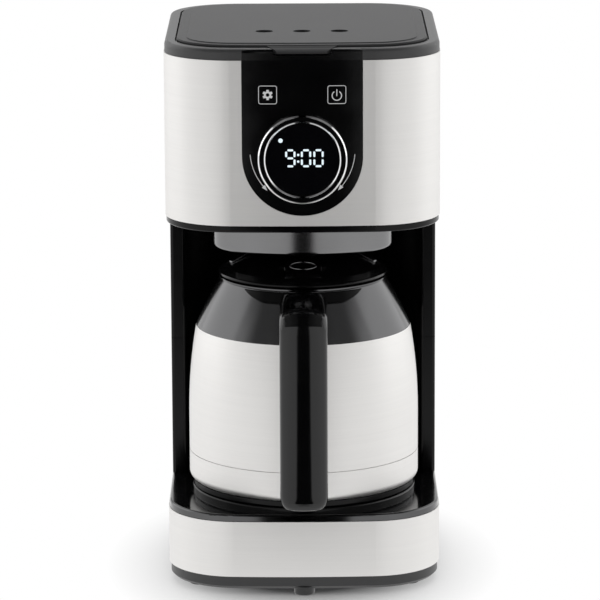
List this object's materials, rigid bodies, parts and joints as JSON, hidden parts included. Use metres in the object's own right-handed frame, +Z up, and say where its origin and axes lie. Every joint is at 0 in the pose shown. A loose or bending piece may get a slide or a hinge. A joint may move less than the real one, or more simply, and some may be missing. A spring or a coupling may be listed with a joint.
{
  "type": "drip coffee maker",
  "caption": "Upright drip coffee maker with steel bands, a selector ring round a display on a gloss panel, a hinged lid and a steel vacuum carafe with handle, pour lever and turning lid.",
  "frame": {"origin": "bottom centre of the bounding box, on the surface the machine stands on", "axes": "+X right, front and carafe handle face -Y, +Z up"},
  "size_m": [0.1756, 0.2638, 0.3551],
  "materials": {
    "brushed_steel": "brushed",
    "gloss_black": "gloss",
    "satin_grey": "satin",
    "black_plastic": "satin",
    "chrome_trim": "polished",
    "rubber": "matte",
    "silicone": "satin",
    "grey_plastic": "satin",
    "circuit_board": "satin",
    "zinc_steel": "satin",
    "cast_aluminium": "cast",
    "brass_tabs": "satin"
  },
  "bodies": {
    "machine": {"bottom_cover": "black_plastic", "feet": "rubber", "cover_screws": "zinc_steel", "base_shell": "gloss_black", "base_band": "brushed_steel", "head_band": "brushed_steel", "carafe_seat": "gloss_black", "cord_gland": "black_plastic", "lower_column": "gloss_black", "upper_column": "gloss_black", "head_shell": "black_plastic", "control_panel": "gloss_black", "top_frame": "satin_grey", "lid_hinge_pins": "zinc_steel", "display_hub": "black_plastic", "display_window": "gloss_black", "display_board": "circuit_board", "control_board": "circuit_board", "board_screws": "zinc_steel", "touch_pads": "zinc_steel", "filter_housing": "satin_grey", "filter_well": "grey_plastic", "filter_basket": "grey_plastic", "water_tank": "grey_plastic", "check_valve": "grey_plastic", "cold_hose": "silicone", "flow_heater": "cast_aluminium", "heater_terminals": "brass_tabs", "heater_strap": "zinc_steel", "strap_screws": "zinc_steel", "thermostat": "zinc_steel", "thermal_fuse": "zinc_steel", "riser_hose": "silicone", "shower_head": "grey_plastic", "power_board": "circuit_board", "relay": "black_plastic", "drip_spring": "zinc_steel"},
    "top_lid": {"lid": "satin_grey"},
    "selector": {"selector_ring": "gloss_black", "selector_outer_trim": "chrome_trim", "selector_inner_trim": "chrome_trim", "selector_clip": "black_plastic"},
    "drip_stop": {"drip_valve": "grey_plastic", "drip_seal": "rubber"},
    "carafe": {"carafe_foot": "gloss_black", "carafe_cup": "brushed_steel", "carafe_shell": "brushed_steel", "carafe_liner": "brushed_steel", "liner_stop": "black_plastic", "carafe_collar": "satin_grey", "handle_saddle": "gloss_black", "carafe_handle": "gloss_black", "handle_screw": "zinc_steel"},
    "carafe_cap": {"carafe_lid": "gloss_black", "lid_seal": "rubber", "lever_pin": "zinc_steel", "pour_spring": "zinc_steel"},
    "lever": {"pour_lever": "gloss_black"},
    "pour_stop": {"pour_valve": "grey_plastic"}
  },
  "joints": [
    {"name": "lid_hinge", "type": "hinge", "parent": "machine", "child": "top_lid", "pos_m": [0, 0.11965, 0.3505], "axis": [-1, 0, 0], "range_deg": [0, 85]},
    {"name": "selector_turn", "type": "hinge", "parent": "machine", "child": "selector", "pos_m": [0, -0.08605, 0.28395], "axis": [0, -1, 0], "continuous": true},
    {"name": "drip_stop_lift", "type": "slide", "parent": "machine", "child": "drip_stop", "axis": [0, 0, 1], "range_m": [0, 0.004], "stiffness_N_per_m": 150, "springref_m": -0.008, "deforming": ["drip_spring"]},
    {"name": "carafe_draw", "type": "slide", "parent": "machine", "child": "carafe", "axis": [0, -1, 0], "range_m": [0, 0.18]},
    {"name": "carafe_lid_turn", "type": "hinge", "parent": "carafe", "child": "carafe_cap", "pos_m": [0, -0.00885, 0.1986], "axis": [0, 0, 1], "range_deg": [0, 60]},
    {"name": "pour_lever_press", "type": "hinge", "parent": "carafe_cap", "child": "lever", "pos_m": [0, -0.04243, 0.2048], "axis": [1, 0, 0], "range_deg": [0, 6], "stiffness_Nm_per_rad": 0.2, "springref_deg": -8.59},
    {"name": "pour_valve_lift", "type": "slide", "parent": "carafe_cap", "child": "pour_stop", "axis": [0, 0, 1], "range_m": [0, 0.0039], "deforming": ["pour_spring"]}
  ],
  "couplings": [
    {"joint": "pour_valve_lift", "follows": "pour_lever_press", "m_per_rad": 0.03358}
  ]
}
